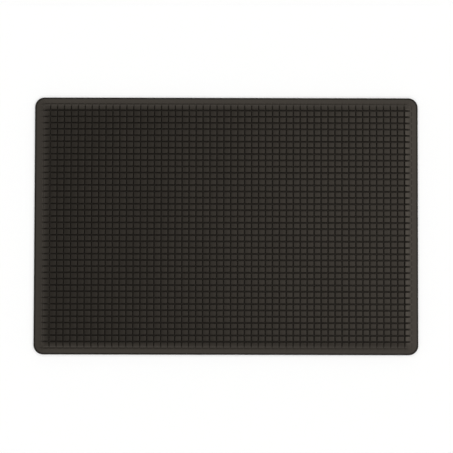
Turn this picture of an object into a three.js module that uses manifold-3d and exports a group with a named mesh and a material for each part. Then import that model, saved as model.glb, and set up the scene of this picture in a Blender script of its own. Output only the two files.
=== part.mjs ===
// A moulded rubber door mat in three bonded layers: a tread sheet with rows of scraper pads and
// a bevelled border, a woven ply behind it, and a studded base sheet set into its underside.
// Millimetres, +X along the length, +Z up, the floor at z = 0 under the middle of the mat.

import * as THREE from 'three';
import { mergeVertices } from 'three/addons/utils/BufferGeometryUtils.js';
import Module from 'manifold-3d';

const wasm = await Module();
wasm.setup();

// Outline, seen from above
const length = 600;
const width = 402;
const cornerRadius = 15;
const innerRadius = 3; // corners of what lies further in than the corner radius

// Layers, counted up from the floor
const studHeight = 1;
const baseThickness = 1;
const plyThickness = 0.5;
const webThickness = 2.6; // rubber between the ply and the bottom of the grooves
const padHeight = 2.9;

const baseBottom = studHeight;
const baseTop = baseBottom + baseThickness;
const plyTop = baseTop + plyThickness;
const grooveFloor = plyTop + webThickness;
const treadTop = grooveFloor + padHeight;

// Border
const lipHeight = 2; // height of the outer edge, where the bevel starts
const noseRadius = 0.8; // rounding of the outer edge
const noseSteps = 3;
const sideBevel = 20.7; // from the long edges to the crest, where the tread is level
const endBevel = 23.4; // the same from the short edges
const bevelCurve = 1.5; // 1 is a straight bevel; above that it starts steeper and eases off
const bevelSteps = 5;
const rimWidth = 13; // the part of the underside that is tread rubber
const layClearance = 0.3; // between the rim and the ply and base laid inside it

// Grooves: one more line than there are pads each way
const padRows = 39;
const rowGroove = 2.4; // width of the grooves that run along X
const endGroove = 1.8; // width of the two grooves that close the ends of the rows
const sideMargin = 10.9; // long edges to the centre of the first groove
const endMargin = 12.6; // short edges to the centre of the end groove
const fieldShift = 1.5; // the pads and the crest sit this far towards +X

// Studs under the base
const studColumns = 14;
const studRows = 9;
const studDiameter = 12;
const studDraft = 0.5; // a stud is this much narrower at the floor, all round
const studMargin = 26; // edge of the base sheet to the centre of the first stud
const studSides = 10;

const cornerSteps = 8;
const overshoot = 5; // a cutter passes through the face it opens by this much

const treadRubber = new THREE.MeshStandardMaterial({ color: 0x2b2823, roughness: 0.55, metalness: 0 });
const plyFabric = new THREE.MeshStandardMaterial({ color: 0x8d8672, roughness: 0.95, metalness: 0 });
const baseRubber = new THREE.MeshStandardMaterial({ color: 0x24211e, roughness: 0.75, metalness: 0 });

// A rectangle with rounded corners, as a ring of points at one height
function rounded(halfX, halfY, radius, height, middleX = 0) {
  const points = [];
  for (let corner = 0; corner < 4; corner++) {
    const sideX = corner === 0 || corner === 3 ? 1 : -1;
    const sideY = corner < 2 ? 1 : -1;
    const centreX = middleX + sideX * (halfX - radius);
    const centreY = sideY * (halfY - radius);
    for (let step = 0; step <= cornerSteps; step++) {
      const angle = (corner + step / cornerSteps) * (Math.PI / 2);
      const x = centreX + radius * Math.cos(angle);
      const y = centreY + radius * Math.sin(angle);
      points.push(new THREE.Vector3(x, y, height));
    }
  }
  return points;
}

// The mat's outline moved in by an inset
function ring(inset, height) {
  const radius = Math.max(cornerRadius - inset, innerRadius);
  return rounded(length / 2 - inset, width / 2 - inset, radius, height);
}

// A closed solid through a stack of rings, lowest first
function stack(rings) {
  const count = rings[0].length;
  const last = (rings.length - 1) * count;
  const index = [];
  for (let level = 0; level < rings.length - 1; level++) {
    for (let i = 0; i < count; i++) {
      const next = (i + 1) % count;
      const low = level * count;
      const high = low + count;
      index.push(low + i, low + next, high + next);
      index.push(low + i, high + next, high + i);
    }
  }
  for (let i = 1; i < count - 1; i++) {
    index.push(0, i + 1, i);
    index.push(last, last + i, last + i + 1);
  }
  const geometry = new THREE.BufferGeometry().setFromPoints(rings.flat());
  geometry.setIndex(index);
  return geometry;
}

function plate(inset, bottom, top) {
  return stack([ring(inset, bottom), ring(inset, top)]);
}

function solid(geometry) {
  const bare = geometry.clone();
  bare.deleteAttribute('normal');
  bare.deleteAttribute('uv');
  const merged = mergeVertices(bare);
  const vertProperties = new Float32Array(merged.attributes.position.array);
  const triVerts = new Uint32Array(merged.index.array);
  return new wasm.Manifold(new wasm.Mesh({ numProp: 3, vertProperties, triVerts }));
}

function node(name, body, material) {
  const { vertProperties, triVerts } = body.getMesh();
  const geometry = new THREE.BufferGeometry();
  geometry.setAttribute('position', new THREE.BufferAttribute(vertProperties, 3));
  geometry.setIndex(new THREE.BufferAttribute(triVerts, 1));
  const faceted = geometry.toNonIndexed();
  faceted.computeVertexNormals();
  const mesh = new THREE.Mesh(faceted, material);
  mesh.name = name;
  return mesh;
}

// A bar that cuts a groove down to the groove floor
function grooveBar(sizeX, sizeY, x, y) {
  const height = padHeight + overshoot;
  const bar = new THREE.BoxGeometry(sizeX, sizeY, height);
  return solid(bar.translate(x, y, grooveFloor + height / 2));
}

// A level line of the bevel, between the top of the nose at 0 and the crest at 1
function bevelRing(along) {
  const noseCorner = cornerRadius - noseRadius;
  const halfX = THREE.MathUtils.lerp(length / 2 - noseRadius, length / 2 - endBevel, along);
  const halfY = THREE.MathUtils.lerp(width / 2 - noseRadius, width / 2 - sideBevel, along);
  const radius = THREE.MathUtils.lerp(noseCorner, innerRadius, along);
  const height = treadTop - (treadTop - lipHeight) * (1 - along) ** bevelCurve;
  return rounded(halfX, halfY, radius, height, fieldShift * along);
}

// The bevelled slab: upright to the nose, a quarter round, then the bevel up to the crest
function slab() {
  const rings = [ring(0, 0)];
  for (let step = 0; step <= noseSteps; step++) {
    const angle = (step / noseSteps) * (Math.PI / 2);
    const inset = noseRadius * (1 - Math.cos(angle));
    rings.push(ring(inset, lipHeight - noseRadius * (1 - Math.sin(angle))));
  }
  for (let step = 1; step <= bevelSteps; step++) {
    rings.push(bevelRing(step / bevelSteps));
  }
  return solid(stack(rings));
}

// Only the grooves along the rows and the two across their ends are cut: each row of pads is
// one long rib
function treadSheet() {
  const bars = [];
  const rowPitch = (width - 2 * sideMargin) / padRows;
  for (let line = 0; line <= padRows; line++) {
    const y = line * rowPitch - (width / 2 - sideMargin);
    bars.push(grooveBar(length + overshoot, rowGroove, 0, y));
  }
  for (const end of [-1, 1]) {
    const x = end * (length / 2 - endMargin) + fieldShift;
    bars.push(grooveBar(endGroove, width + overshoot, x, 0));
  }
  const grooves = bars.reduce((joined, bar) => joined.add(bar));
  const pocket = solid(plate(rimWidth, -overshoot, plyTop));
  return slab().subtract(pocket).subtract(grooves);
}

function reinforcingPly() {
  return solid(plate(rimWidth + layClearance, baseTop, plyTop));
}

function stud(x, y) {
  const height = studHeight + baseThickness / 2; // rooted half way into the sheet
  const top = studDiameter / 2;
  const shape = new THREE.CylinderGeometry(top, top - studDraft, height, studSides);
  shape.rotateX(Math.PI / 2);
  return solid(shape.translate(x, y, height / 2));
}

function baseSheet() {
  const edge = rimWidth + layClearance;
  const reachX = length / 2 - edge - studMargin;
  const reachY = width / 2 - edge - studMargin;
  let body = solid(plate(edge, baseBottom, baseTop));
  for (let column = 0; column < studColumns; column++) {
    const x = THREE.MathUtils.lerp(-reachX, reachX, column / (studColumns - 1));
    for (let row = 0; row < studRows; row++) {
      const y = THREE.MathUtils.lerp(-reachY, reachY, row / (studRows - 1));
      body = body.add(stud(x, y));
    }
  }
  return body;
}

const mat = new THREE.Group();
mat.add(node('tread_sheet', treadSheet(), treadRubber));
mat.add(node('reinforcing_ply', reinforcingPly(), plyFabric));
mat.add(node('base_sheet', baseSheet(), baseRubber));

export default mat;
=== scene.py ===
import math

import bpy
import numpy as np
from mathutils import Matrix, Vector


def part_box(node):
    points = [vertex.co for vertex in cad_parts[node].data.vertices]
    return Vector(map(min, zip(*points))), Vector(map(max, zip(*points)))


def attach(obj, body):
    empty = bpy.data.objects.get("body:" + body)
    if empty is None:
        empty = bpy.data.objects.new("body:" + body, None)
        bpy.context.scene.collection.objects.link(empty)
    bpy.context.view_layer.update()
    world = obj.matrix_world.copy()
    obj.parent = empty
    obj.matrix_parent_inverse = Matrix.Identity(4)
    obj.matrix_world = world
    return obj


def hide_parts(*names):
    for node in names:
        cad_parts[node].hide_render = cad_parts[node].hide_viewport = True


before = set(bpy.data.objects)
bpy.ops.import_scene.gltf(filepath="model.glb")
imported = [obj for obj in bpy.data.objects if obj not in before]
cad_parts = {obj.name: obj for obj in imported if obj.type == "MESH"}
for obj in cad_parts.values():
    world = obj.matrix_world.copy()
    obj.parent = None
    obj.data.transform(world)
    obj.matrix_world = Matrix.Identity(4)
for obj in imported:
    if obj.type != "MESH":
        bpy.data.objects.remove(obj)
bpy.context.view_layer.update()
mm = 0.001
print("frame loaded")


# Outline and surface helpers

# Shape codes of a grid line: level pad top, the rounded top of a pad's wall, the foot of that wall
padTop, wallTop, wallFoot = 0, 1, 2


def outlineDepth(x, y, halfX, halfY, radius):
    # how far a point lies inside a rectangle with rounded corners
    overX = np.abs(x) - (halfX - radius)
    overY = np.abs(y) - (halfY - radius)
    beyond = np.hypot(np.maximum(overX, 0), np.maximum(overY, 0))
    return radius - beyond - np.minimum(np.maximum(overX, overY), 0)


def roundCorners(x, y, halfX, halfY, radius):
    # squares the grid's own corners off into arcs; the rest of the grid stays where it is
    overX = np.abs(x) - (halfX - radius)
    overY = np.abs(y) - (halfY - radius)
    inCorner = (overX > 0) & (overY > 0)
    longest = np.maximum(np.abs(overX), np.abs(overY))
    squeeze = np.where(inCorner, longest / np.maximum(np.hypot(overX, overY), 1e-9), 1)
    newX = np.sign(x) * (halfX - radius + overX * squeeze)
    newY = np.sign(y) * (halfY - radius + overY * squeeze)
    return np.where(inCorner, newX, x), np.where(inCorner, newY, y)


def gentleWaves(x, y, seed, wavelength, count=7):
    # a smooth unevenness between about -1 and 1, the same on every run
    rng = np.random.default_rng(seed)
    total = np.zeros(np.shape(x))
    for _ in range(count):
        turn, start = rng.uniform(0, 2 * math.pi, 2)
        pitch = wavelength * rng.uniform(0.7, 1.6)
        along = x * math.cos(turn) + y * math.sin(turn)
        total = total + np.sin(along * 2 * math.pi / pitch + start)
    return total / math.sqrt(count)


def boundaryOf(columns, rows):
    # indices of a grid's rim, counter-clockwise from above; point (i, j) is i * rows + j
    front = [i * rows for i in range(columns)]
    right = [(columns - 1) * rows + j for j in range(1, rows)]
    back = [i * rows + rows - 1 for i in range(columns - 2, -1, -1)]
    left = [j for j in range(rows - 2, 0, -1)]
    return front + right + back + left


def gridFaces(columns, rows):
    faces = []
    for i in range(columns - 1):
        for j in range(rows - 1):
            low = i * rows + j
            faces.append((low, low + rows, low + rows + 1, low + 1))
    return faces


def wallFaces(upper, lower):
    # quads between two rims of equal length, facing out where the lower one is below or inside
    count = len(upper)
    turned = [(k, (k + 1) % count) for k in range(count)]
    return [(lower[k], lower[n], upper[n], upper[k]) for k, n in turned]


def makeObject(name, points, faces, material, sharpAbove=60, marks=None):
    # marks are values kept at the points, which the material reads by name
    mesh = bpy.data.meshes.new(name)
    mesh.from_pydata([tuple(p) for p in points], [], faces)
    for mark, values in (marks or {}).items():
        mesh.attributes.new(mark, "FLOAT", "POINT").data.foreach_set("value", values)
    mesh.polygons.foreach_set("use_smooth", [True] * len(mesh.polygons))
    mesh.set_sharp_from_angle(angle=math.radians(sharpAbove))
    mesh.materials.append(material)
    made = bpy.data.objects.new(name, mesh)
    bpy.context.scene.collection.objects.link(made)
    weighted = made.modifiers.new("weighted normals", "WEIGHTED_NORMAL")
    weighted.keep_sharp = True
    return made


# Shader maths

class Shade:
    # one socket of a material's tree, so that a mask or a height is written as a sum
    def __init__(self, tree, socket=None):
        self.tree = tree
        self.socket = socket

    def node(self, kind, settings=None, inputs=None, output=0):
        made = self.tree.nodes.new(kind)
        for key, value in (settings or {}).items():
            if key == "stops":
                self.setStops(made.color_ramp, value)
            else:
                setattr(made, key, value)
        for key, value in (inputs or {}).items():
            if isinstance(value, Shade):
                self.tree.links.new(value.socket, made.inputs[key])
            else:
                made.inputs[key].default_value = value
        return Shade(self.tree, made.outputs[output] if made.outputs else None)

    def setStops(self, ramp, stops):
        while len(ramp.elements) < len(stops):
            ramp.elements.new(1)
        for element, (place, colour) in zip(ramp.elements, stops):
            element.position = place
            element.color = colour

    def math(self, operation, first, second=0.0, third=0.0):
        values = {0: first, 1: second, 2: third}
        return self.node("ShaderNodeMath", {"operation": operation}, values)

    def __add__(self, other):
        return self.math("ADD", self, other)

    def __radd__(self, other):
        return self.math("ADD", other, self)

    def __sub__(self, other):
        return self.math("SUBTRACT", self, other)

    def __rsub__(self, other):
        return self.math("SUBTRACT", other, self)

    def __mul__(self, other):
        return self.math("MULTIPLY", self, other)

    def __rmul__(self, other):
        return self.math("MULTIPLY", other, self)

    def __truediv__(self, other):
        return self.math("DIVIDE", self, other)

    def floor(self):
        return self.math("FLOOR", self)

    def between(self, low, high):
        # 0 at low and 1 at high, smooth on the way
        values = {"Value": self, "From Min": low, "From Max": high}
        return self.node("ShaderNodeMapRange", {"interpolation_type": "SMOOTHSTEP"}, values)

    def mix(self, factor, first, second):
        values = {0: factor, 6: first, 7: second}
        return self.node("ShaderNodeMix", {"data_type": "RGBA"}, values, output=2)

    def noise(self, coords, size, detail=2.0, roughness=0.5):
        # size is the size of the pattern's larger features, in metres
        values = {"Vector": coords, "Scale": 1 / size, "Detail": detail, "Roughness": roughness}
        return self.node("ShaderNodeTexNoise", {}, values)

    def bump(self, height, depth, under=None):
        # depth is how far a height of 1 stands out, in metres
        values = {"Height": height, "Distance": depth, "Strength": 1.0}
        if under is not None:
            values["Normal"] = under
        return self.node("ShaderNodeBump", {}, values)


def newMaterial(name):
    material = bpy.data.materials.new(name)
    material.use_nodes = True
    material.node_tree.nodes.clear()
    return material, Shade(material.node_tree)


def finishMaterial(shade, inputs):
    surface = shade.node("ShaderNodeBsdfPrincipled", {}, inputs)
    shade.node("ShaderNodeOutputMaterial", {}, {"Surface": surface})


# Tread sheet: the pads, the bevelled border and the rim under it, all one moulding

tread = dict(
    columns=53,
    rows=39,
    columnGroove=1.8 * mm,  # width of the grooves between columns, at the top
    rowGroove=2.4 * mm,
    endMargin=12.6 * mm,  # short edges to the centre of the first groove
    sideMargin=10.9 * mm,
    shift=1.5 * mm,  # the pads and the crest sit this far towards +X
    padHeight=2.9 * mm,
    draft=0.4 * mm,  # each wall leans back by this much on its way up
    edgeRun=0.5 * mm,  # rounding of a pad's top edge: how far in, and how far down
    edgeDrop=0.2 * mm,
    cornerPull=0.1 * mm,  # a pad's corners are drawn in by this much each way
    cornerRadius=15 * mm,
    lipHeight=2 * mm,
    noseRadius=0.8 * mm,
    noseSteps=3,
    sideBevel=20.7 * mm,  # from the long edges to the crest, where the tread is level
    endBevel=23.4 * mm,  # the same from the short edges
    crestRadius=3 * mm,
    bevelCurve=1.5,  # 1 is a straight bevel; above that it starts steeper and eases off
    grooveStart=0.12,  # how far up the bevel the grooves start
    grooveCurve=1.8,  # and how slowly they deepen from there to the crest
    rimWidth=13 * mm,
    rimRadius=3 * mm,
    footRound=0.3 * mm,
    padTilt=0.004,  # slope of a pad's top, more or less
    padUneven=0.03 * mm,
    waveDepth=0.12 * mm,
    waveLength=0.11,
    seed=7,
)


def bevelFraction(x, y, halfX, halfY, cfg):
    # how far up the bevel a point is, from 0 at the nose to 1 at the crest: the bevel's level
    # lines are rounded rectangles that shrink from the one to the other
    nose = cfg["noseRadius"]
    outline = np.array([0, halfX - nose, halfY - nose, cfg["cornerRadius"] - nose])
    crest = np.array([cfg["shift"], halfX - cfg["endBevel"], halfY - cfg["sideBevel"], cfg["crestRadius"]])
    low, high = np.zeros(x.shape), np.ones(x.shape)
    for _ in range(22):
        middle = (low + high) / 2
        shift, ringX, ringY, radius = outline[:, None, None] + (crest - outline)[:, None, None] * middle
        inside = outlineDepth(x - shift, y, ringX, ringY, radius) > 0
        low, high = np.where(inside, middle, low), np.where(inside, high, middle)
    return high


def treadHeight(x, y, halfX, halfY, fraction, top, cfg):
    # height of the outer surface: nose, bevel, level
    nose, lip = cfg["noseRadius"], cfg["lipHeight"]
    depth = outlineDepth(x, y, halfX, halfY, cfg["cornerRadius"])
    into = np.clip(nose - depth, 0, nose)
    onNose = lip - nose + np.sqrt(nose**2 - into**2)
    onBevel = top - (top - lip) * (1 - fraction) ** cfg["bevelCurve"]
    return np.where(depth < nose, onNose, onBevel)


def treadLines(half, first, last, count, groove, cfg):
    # the grid lines one way: where each is, its shape code, the pad it is on, and which side
    # of its groove it is on
    lines = []
    angles = [math.pi / 2 * k / cfg["noseSteps"] for k in range(cfg["noseSteps"] + 1)]
    insets = [cfg["noseRadius"] * (1 - math.cos(a)) for a in angles]
    insets += [inset * mm for inset in (2, 3.5, 5, 6.5, 8, 9.2)]
    lines += [(-half + inset, padTop, -1, 0) for inset in insets]
    lines += [(half - inset, padTop, -1, 0) for inset in insets]
    for pad in (0, count - 1):  # the first pad each way lies on the bevel and follows its curve
        for along in (0.3, 0.5, 0.7):
            lines.append((first + (last - first) * (pad + along) / count, padTop, pad, 0))
    offsets = [
        (groove / 2 + cfg["edgeRun"], padTop),
        (groove / 2, wallTop),
        (groove / 2 - cfg["draft"], wallFoot),
    ]
    for k in range(count + 1):
        centre = first + (last - first) * k / count
        for side in (-1, 1):
            pad = k - 1 if side < 0 else k
            for offset, code in offsets:
                inField = 0 <= pad < count
                lines.append((centre + side * offset, code, pad if inField else -1, side))
    lines.sort(key=lambda line: line[0])
    atGroove = np.array([line[0] for line in lines if line[3]])

    def hasRoom(line):
        # a plain line on or beside a groove's is left out, because it would fold faces flat
        return line[3] or np.abs(atGroove - line[0]).min() > 0.35 * mm

    kept = [line for line in lines if hasRoom(line)]
    return [np.array(column) for column in zip(*kept)]


def treadSurface(cfg, halfX, halfY, top):
    edgeX, edgeY = cfg["endMargin"], cfg["sideMargin"]
    firstX, lastX = -halfX + edgeX + cfg["shift"], halfX - edgeX + cfg["shift"]
    firstY, lastY = -halfY + edgeY, halfY - edgeY
    lineX = treadLines(halfX, firstX, lastX, cfg["columns"], cfg["columnGroove"], cfg)
    lineY = treadLines(halfY, firstY, lastY, cfg["rows"], cfg["rowGroove"], cfg)
    atX, codeX, padX, sideX = (a[:, None] for a in lineX)
    atY, codeY, padY, sideY = (a[None, :] for a in lineY)
    pull = cfg["cornerPull"] * ((codeX > 0) & (codeY > 0))
    x, y = roundCorners(
        atX + sideX * pull, atY + sideY * pull, halfX, halfY, cfg["cornerRadius"]
    )
    fraction = bevelFraction(x, y, halfX, halfY, cfg)
    outer = treadHeight(x, y, halfX, halfY, fraction, top, cfg)
    # how far a pad stands above the grooves, which run out before they reach the edge
    deepening = np.clip((fraction - cfg["grooveStart"]) / (1 - cfg["grooveStart"]), 0, 1)
    stands = cfg["padHeight"] * deepening ** cfg["grooveCurve"]
    rounded = np.minimum(cfg["edgeDrop"], 0.4 * stands)
    drop = rounded * ((codeX == wallTop) * 1.0 + (codeY == wallTop) * 1.0)
    inGroove = (codeX == wallFoot) | (codeY == wallFoot)
    z = np.where(inGroove, outer - stands, outer - drop)

    rng = np.random.default_rng(cfg["seed"])
    shape = (cfg["columns"], cfg["rows"])
    tiltX, tiltY = rng.normal(0, cfg["padTilt"], (2, *shape))
    lift = rng.normal(0, cfg["padUneven"], shape)
    onPad = (padX >= 0) & (padY >= 0) & ~inGroove
    i, j = np.maximum(padX, 0) + 0 * padY, np.maximum(padY, 0) + 0 * padX
    middleX = firstX + (i + 0.5) * (lastX - firstX) / cfg["columns"]
    middleY = firstY + (j + 0.5) * (lastY - firstY) / cfg["rows"]
    own = lift[i, j] + tiltX[i, j] * (x - middleX) + tiltY[i, j] * (y - middleY)
    z = z + np.where(onPad, own * np.clip(stands / (2 * mm), 0, 1), 0)
    rise = np.clip((outer - cfg["lipHeight"]) / (top - cfg["lipHeight"]), 0, 1)
    z = z + rise * cfg["waveDepth"] * gentleWaves(x, y, cfg["seed"], cfg["waveLength"])
    sunk = np.where(inGroove, np.clip(stands / cfg["padHeight"] * 2, 0, 1), 0)
    return x, y, z, atX + 0 * atY, atY + 0 * atX, sunk


def buildTread(cfg, material):
    low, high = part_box("tread_sheet")
    halfX, halfY, top = high.x, high.y, high.z
    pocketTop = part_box("reinforcing_ply")[1].z
    x, y, z, flatX, flatY, sunk = treadSurface(cfg, halfX, halfY, top)
    columns, rows = x.shape
    points = [np.stack([x.ravel(), y.ravel(), z.ravel()], 1)]
    faces = gridFaces(columns, rows)
    rim = boundaryOf(columns, rows)
    rimX, rimY = flatX.ravel()[rim], flatY.ravel()[rim]
    count = columns * rows
    foot = cfg["footRound"]
    # under the nose: down the edge, in along the floor, and up the wall of the ply's pocket
    under = [
        (0, foot, cfg["cornerRadius"]),
        (foot * 0.3, foot * 0.3, cfg["cornerRadius"]),
        (foot, 0, cfg["cornerRadius"]),
        (cfg["rimWidth"], 0, cfg["rimRadius"]),
        (cfg["rimWidth"], pocketTop, cfg["rimRadius"]),
    ]
    above = rim
    for inset, height, radius in under:
        scaledX = rimX * (halfX - inset) / halfX
        scaledY = rimY * (halfY - inset) / halfY
        ringX, ringY = roundCorners(scaledX, scaledY, halfX - inset, halfY - inset, radius)
        points.append(np.stack([ringX, ringY, np.full(len(rim), height)], 1))
        below = list(range(count, count + len(rim)))
        faces += wallFaces(above, below)
        above = below
        count += len(rim)
    faces.append(tuple(reversed(above)))
    sunk = np.concatenate([sunk.ravel(), np.zeros(count - columns * rows)])
    return makeObject("tread", np.concatenate(points), faces, material, marks={"sunk": sunk})


def treadRubber(cfg, pads):
    material, shade = newMaterial("tread rubber")
    coords = shade.node("ShaderNodeTexCoord", {}, {}, output=3)
    grain = shade.noise(coords, cfg["grainSize"], detail=3)
    patches = shade.noise(coords, cfg["patchSize"], detail=4, roughness=0.6)
    broad = shade.noise(coords, cfg["broadSize"], detail=2)
    height = shade.node("ShaderNodeSeparateXYZ", {}, {"Vector": coords}, output=2)
    deep = shade.node("ShaderNodeAttribute", {"attribute_name": "sunk"}, output=2)
    # painted shadow: everything lower than just above the lip, the nose and the foot of the bevel, takes
    # the dull copy below, standing in for the shadow round the mat's edge
    paintedEdgeShadow = 1 - height.between(pads["lip"] + 0.4 * mm, pads["lip"] + 0.9 * mm)
    colour = shade.mix(patches, cfg["darkColour"], cfg["lightColour"])
    roughness = cfg["roughness"] + (patches - 0.5) * cfg["roughnessPatches"]
    roughness = roughness + (broad - 0.5) * cfg["roughnessBroad"]
    fine = shade.bump(grain, cfg["grainDepth"])
    normal = shade.bump(patches, cfg["patchDepth"], fine)
    inputs = {"Base Color": colour, "Roughness": roughness, "Normal": normal}
    inputs["IOR"] = cfg["ior"]
    inputs["Specular Tint"] = cfg["bloom"]
    satin = shade.node("ShaderNodeBsdfPrincipled", {}, inputs)
    # a dull, less shiny copy of the rubber, used as painted shade in the grooves and as a painted shadow
    # round the outer edge
    inputs = {"Base Color": cfg["paintedShadeColour"], "Roughness": cfg["paintedShadeRoughness"], "Normal": normal}
    inputs["Specular IOR Level"] = cfg["paintedShadeShine"]
    inputs["Specular Tint"] = cfg["bloom"]
    paintedShadeBsdf = shade.node("ShaderNodeBsdfPrincipled", {}, inputs)
    # how much of the dull copy is mixed in: painted shade deep in the grooves, and a painted shadow at the
    # low outer edge
    paintedShadeShare = deep.between(0.2, 0.9) * cfg["groovePaintedShade"] + paintedEdgeShadow * cfg["edgePaintedShadow"]
    surface = shade.node("ShaderNodeMixShader", {}, {0: paintedShadeShare, 1: satin, 2: paintedShadeBsdf})
    shade.node("ShaderNodeOutputMaterial", {}, {"Surface": surface})
    return material


treadFinish = dict(
    darkColour=(0.006, 0.0051, 0.004, 1),
    lightColour=(0.009, 0.0077, 0.006, 1),
    paintedShadeColour=(0.009, 0.0077, 0.006, 1),  # painted shade: colour of the dull copy mixed into the grooves, and a painted shadow round the outer edge
    paintedShadeRoughness=0.8,
    paintedShadeShine=0.15,
    # share of the dull copy: painted shade in the grooves, painted shadow at the edge
    groovePaintedShade=0.6,
    edgePaintedShadow=1.0,
    bloom=(1, 0.88, 0.75, 1),  # the brown film that such rubber grows tints its shine
    roughness=0.2,
    roughnessPatches=0.1,
    roughnessBroad=0.08,
    grainSize=0.5 * mm,
    grainDepth=0.008 * mm,
    patchSize=4 * mm,
    patchDepth=0.06 * mm,
    broadSize=60 * mm,
    ior=1.5,
)

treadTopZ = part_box("tread_sheet")[1].z
padLevels = dict(floor=treadTopZ - tread["padHeight"], lip=tread["lipHeight"])
treadPiece = buildTread(tread, treadRubber(treadFinish, padLevels))
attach(treadPiece, "root")
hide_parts("tread_sheet")
print("tread sheet:", len(treadPiece.data.polygons), "faces")


# Base sheet: the backing with its grip studs

base = dict(
    studColumns=14,
    studRows=9,
    studMargin=26 * mm,
    studRadius=6 * mm,
    studFoot=5.5 * mm,
    cornerRadius=3 * mm,
    sides=24,  # points round a stud, a multiple of 4
)


def studProfile(cfg, sheetBottom):
    # from the sheet's underside down the stud's side and in over its foot: radius and height
    root, foot = cfg["studRadius"], cfg["studFoot"]
    return [
        (root + 0.35 * mm, sheetBottom),
        (root + 0.1 * mm, sheetBottom - 0.08 * mm),
        (root, sheetBottom - 0.28 * mm),
        (foot + 0.12 * mm, 0.26 * mm),
        (foot, 0.07 * mm),
        (foot - 0.25 * mm, 0),
        (foot - 1.6 * mm, 0),
        (foot - 2.4 * mm, 0.12 * mm),  # a shallow cup that grips a smooth floor
        (1.2 * mm, 0.2 * mm),
    ]


def buildBase(cfg, material):
    low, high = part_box("base_sheet")
    halfX, halfY = high.x, high.y
    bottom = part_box("reinforcing_ply")[0].z - 1 * mm
    reachX, reachY = halfX - cfg["studMargin"], halfY - cfg["studMargin"]
    studX = np.linspace(-reachX, reachX, cfg["studColumns"])
    studY = np.linspace(-reachY, reachY, cfg["studRows"])
    splitX = [-halfX, *(studX[1:] + studX[:-1]) / 2, halfX]
    splitY = [-halfY, *(studY[1:] + studY[:-1]) / 2, halfY]
    perSide = cfg["sides"] // 4
    points, faces, shared = [], [], {}

    def addPoint(px, py, pz):
        points.append((px, py, pz))
        return len(points) - 1

    def cellPoint(px, py):
        # a point on a cell's edge, shared with the cell beside it
        key = (round(px / (0.01 * mm)), round(py / (0.01 * mm)))
        if key not in shared:
            rx, ry = roundCorners(px, py, halfX, halfY, cfg["cornerRadius"])
            shared[key] = addPoint(float(rx), float(ry), bottom)
        return shared[key]

    for i, cx in enumerate(studX):
        for j, cy in enumerate(studY):
            corners = [
                (splitX[i + 1], splitY[j + 1]),
                (splitX[i], splitY[j + 1]),
                (splitX[i], splitY[j]),
                (splitX[i + 1], splitY[j]),
            ]
            outer = []
            for (ax, ay), (bx, by) in zip(corners, corners[1:] + corners[:1]):
                for k in range(perSide):
                    t = k / perSide
                    outer.append(cellPoint(ax + (bx - ax) * t, ay + (by - ay) * t))
            for radius, height in studProfile(cfg, bottom):
                inner = []
                for k in range(cfg["sides"]):
                    angle = math.pi / 4 + 2 * math.pi * k / cfg["sides"]
                    px, py = cx + radius * math.cos(angle), cy + radius * math.sin(angle)
                    inner.append(addPoint(px, py, height))
                faces += [(b, a, d, c) for a, b, c, d in wallFaces(inner, outer)]
                outer = inner
            faces.append(tuple(reversed(outer)))
    return points, faces, shared, splitX, splitY, bottom, halfX, halfY


def edgePath(splitX, splitY, perSide):
    # the sheet's rim, through the same points as its cells' edges, counter-clockwise
    def along(splits):
        places = []
        for a, b in zip(splits, splits[1:]):
            places += [a + (b - a) * k / perSide for k in range(perSide)]
        return places + [splits[-1]]

    acrossX, acrossY = along(splitX), along(splitY)
    path = [(x, acrossY[0]) for x in acrossX]
    path += [(acrossX[-1], y) for y in acrossY[1:]]
    path += [(x, acrossY[-1]) for x in acrossX[-2::-1]]
    path += [(acrossX[0], y) for y in acrossY[-2:0:-1]]
    return path


def closeBase(cfg, material):
    points, faces, shared, splitX, splitY, bottom, halfX, halfY = buildBase(cfg, material)
    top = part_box("base_sheet")[1].z - 0.01 * mm
    path = edgePath(splitX, splitY, cfg["sides"] // 4)
    lower = [shared[(round(x / (0.01 * mm)), round(y / (0.01 * mm)))] for x, y in path]
    upper = []
    for k in lower:
        points.append((points[k][0], points[k][1], top))
        upper.append(len(points) - 1)
    faces += wallFaces(upper, lower)
    faces.append(tuple(upper))
    return makeObject("base", points, faces, material, sharpAbove=50)


def baseRubber(cfg):
    material, shade = newMaterial("base rubber")
    coords = shade.node("ShaderNodeTexCoord", {}, {}, output=3)
    patches = shade.noise(coords, cfg["patchSize"], detail=4, roughness=0.6)
    thread = {"wave_type": "BANDS", "bands_direction": "X"}
    warp = shade.node("ShaderNodeTexWave", thread, {"Vector": coords, "Scale": cfg["weave"]}, output=1)
    thread = {"wave_type": "BANDS", "bands_direction": "Y"}
    weft = shade.node("ShaderNodeTexWave", thread, {"Vector": coords, "Scale": cfg["weave"]}, output=1)
    imprint = warp * weft
    colour = shade.mix(patches, cfg["darkColour"], cfg["lightColour"])
    roughness = cfg["roughness"] + (patches - 0.5) * 0.16
    normal = shade.bump(imprint, cfg["weaveDepth"], shade.bump(patches, cfg["patchDepth"]))
    inputs = {"Base Color": colour, "Roughness": roughness, "Normal": normal}
    finishMaterial(shade, inputs)
    return material


baseFinish = dict(
    darkColour=(0.014, 0.013, 0.012, 1),
    lightColour=(0.028, 0.026, 0.023, 1),
    roughness=0.62,
    weave=360.0,  # threads of the pressing cloth, as the wave texture counts them
    weaveDepth=0.05 * mm,
    patchSize=5 * mm,
    patchDepth=0.05 * mm,
)

basePiece = closeBase(base, baseRubber(baseFinish))
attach(basePiece, "root")
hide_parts("base_sheet")
print("base sheet:", len(basePiece.data.polygons), "faces")


# Reinforcing ply: a woven sheet laid between the two rubbers

ply = dict(
    cornerRadius=3 * mm,
    spacing=9 * mm,
    gap=0.03 * mm,  # to the rubber above and below
    weaveWave=0.05 * mm,
)


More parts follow.
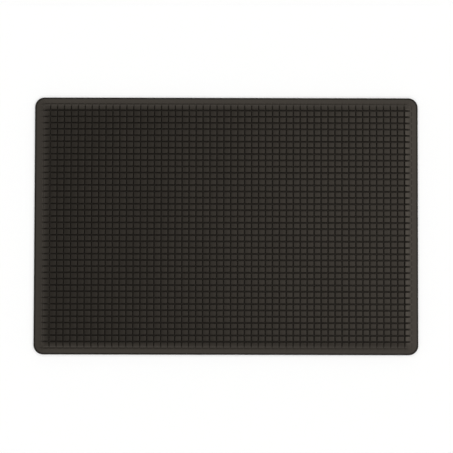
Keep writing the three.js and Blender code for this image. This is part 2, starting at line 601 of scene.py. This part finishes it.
def buildPly(cfg, material):
    low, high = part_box("reinforcing_ply")
    columns = round(2 * high.x / cfg["spacing"]) + 1
    rows = round(2 * high.y / cfg["spacing"]) + 1
    flatX = np.linspace(low.x, high.x, columns)[:, None] + np.zeros((1, rows))
    flatY = np.linspace(low.y, high.y, rows)[None, :] + np.zeros((columns, 1))
    x, y = roundCorners(flatX, flatY, high.x, high.y, cfg["cornerRadius"])
    lift = cfg["weaveWave"] * (gentleWaves(x, y, 3, 0.05) / 3 - 1)
    upper = np.stack([x.ravel(), y.ravel(), (high.z - cfg["gap"] + lift).ravel()], 1)
    lower = np.stack([x.ravel(), y.ravel(), (low.z + cfg["gap"] - lift).ravel()], 1)
    count = columns * rows
    faces = gridFaces(columns, rows)
    faces += [tuple(count + k for k in reversed(face)) for face in gridFaces(columns, rows)]
    rim = boundaryOf(columns, rows)
    faces += wallFaces(rim, [count + k for k in rim])
    return makeObject("ply", np.concatenate([upper, lower]), faces, material)


def plyCloth(cfg):
    material, shade = newMaterial("ply cloth")
    coords = shade.node("ShaderNodeTexCoord", {}, {}, output=3)
    patches = shade.noise(coords, cfg["slubSize"], detail=3)
    thread = {"wave_type": "BANDS", "bands_direction": "X"}
    warp = shade.node("ShaderNodeTexWave", thread, {"Vector": coords, "Scale": cfg["weave"]}, output=1)
    thread = {"wave_type": "BANDS", "bands_direction": "Y"}
    weft = shade.node("ShaderNodeTexWave", thread, {"Vector": coords, "Scale": cfg["weave"]}, output=1)
    cloth = warp * weft
    colour = shade.mix(cloth * 0.7 + patches * 0.3, cfg["shadowColour"], cfg["threadColour"])
    normal = shade.bump(cloth, cfg["threadDepth"])
    inputs = {"Base Color": colour, "Roughness": 0.9, "Normal": normal}
    inputs["Sheen Weight"] = 0.2
    finishMaterial(shade, inputs)
    return material


plyFinish = dict(
    threadColour=(0.32, 0.29, 0.23, 1),
    shadowColour=(0.12, 0.11, 0.09, 1),
    weave=300.0,
    threadDepth=0.1 * mm,
    slubSize=4 * mm,
)

plyPiece = buildPly(ply, plyCloth(plyFinish))
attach(plyPiece, "root")
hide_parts("reinforcing_ply")
print("reinforcing ply:", len(plyPiece.data.polygons), "faces")


# Floor, light and camera

studio = dict(
    floorSize=12.0,
    floorColour=(0.97, 0.97, 0.965, 1),
    skyOverhead=0.3,  # light from straight above, which the mat's flat pads mirror
    skyAround=1.13,  # light from the sides of the room, mirrored by the bevel
    riseFrom=12.0,  # degrees from straight up where the one turns into the other
    riseTo=45.0,
    brightSide=0.2,  # this much more from +X, and less from -X
    softLean=(0.26, 0.0),  # one large soft light: its middle, as a lean from straight up
    softFrom=4.0,  # degrees from its middle where it starts to fade, and where it's gone
    softTo=28.0,
    softGain=3.6,  # how many times brighter than the bare sky its middle is
)

camera = dict(
    distance=2.1,
    elevation=88.0,
    roll=0.13,
    aim=(0.74 * mm, -0.8 * mm),
    pixelsPerMetre=638.9,
    imageWidth=453,
)


def buildFloor(cfg):
    half = cfg["floorSize"] / 2
    corners = [(-half, -half, 0), (half, -half, 0), (half, half, 0), (-half, half, 0)]
    mesh = bpy.data.meshes.new("floor")
    mesh.from_pydata(corners, [], [(0, 1, 2, 3)])
    material, shade = newMaterial("floor paint")
    finishMaterial(shade, {"Base Color": cfg["floorColour"], "Roughness": 0.9})
    mesh.materials.append(material)
    floor = bpy.data.objects.new("floor", mesh)
    bpy.context.scene.collection.objects.link(floor)


def buildSky(cfg):
    world = bpy.data.worlds.new("studio")
    bpy.context.scene.world = world
    world.use_nodes = True
    world.node_tree.nodes.clear()
    shade = Shade(world.node_tree)
    coords = shade.node("ShaderNodeTexCoord", {}, {}, output=0)

    def rising(lean, start, stop):
        # 0 near a lean from straight up, and 1 further round the sky
        values = {0: coords, 1: Vector((*lean, 1)).normalized()}
        cosine = shade.node("ShaderNodeVectorMath", {"operation": "DOT_PRODUCT"}, values, output=1)
        angle = shade.math("ARCCOSINE", cosine)
        return angle.between(math.radians(start), math.radians(stop))

    around = rising((0, 0), cfg["riseFrom"], cfg["riseTo"])
    sky = cfg["skyOverhead"] + around * (cfg["skyAround"] - cfg["skyOverhead"])
    right = shade.node("ShaderNodeSeparateXYZ", {}, {"Vector": coords}, output=0)
    sky = sky * (1 + right * cfg["brightSide"])
    soft = 1 - rising(cfg["softLean"], cfg["softFrom"], cfg["softTo"])
    sky = sky * (1 + soft * (cfg["softGain"] - 1))
    sky = shade.node("ShaderNodeBackground", {}, {"Color": (1, 1, 1, 1), "Strength": sky})
    shade.node("ShaderNodeOutputWorld", {}, {"Surface": sky})


def placeCamera(cfg):
    data = bpy.data.cameras.new("camera")
    data.sensor_width = 36
    data.lens = cfg["pixelsPerMetre"] * data.sensor_width * cfg["distance"] / cfg["imageWidth"]
    viewer = bpy.data.objects.new("camera", data)
    lift = math.radians(cfg["elevation"])
    back = Vector((0, -math.cos(lift), math.sin(lift)))
    viewer.location = Vector((*cfg["aim"], 0)) + back * cfg["distance"]
    viewer.rotation_euler = (math.pi / 2 - lift, 0, math.radians(cfg["roll"]))
    bpy.context.scene.collection.objects.link(viewer)
    bpy.context.scene.camera = viewer


buildFloor(studio)
buildSky(studio)
placeCamera(camera)
bpy.context.scene.view_settings.view_transform = "Standard"
print("studio ready")
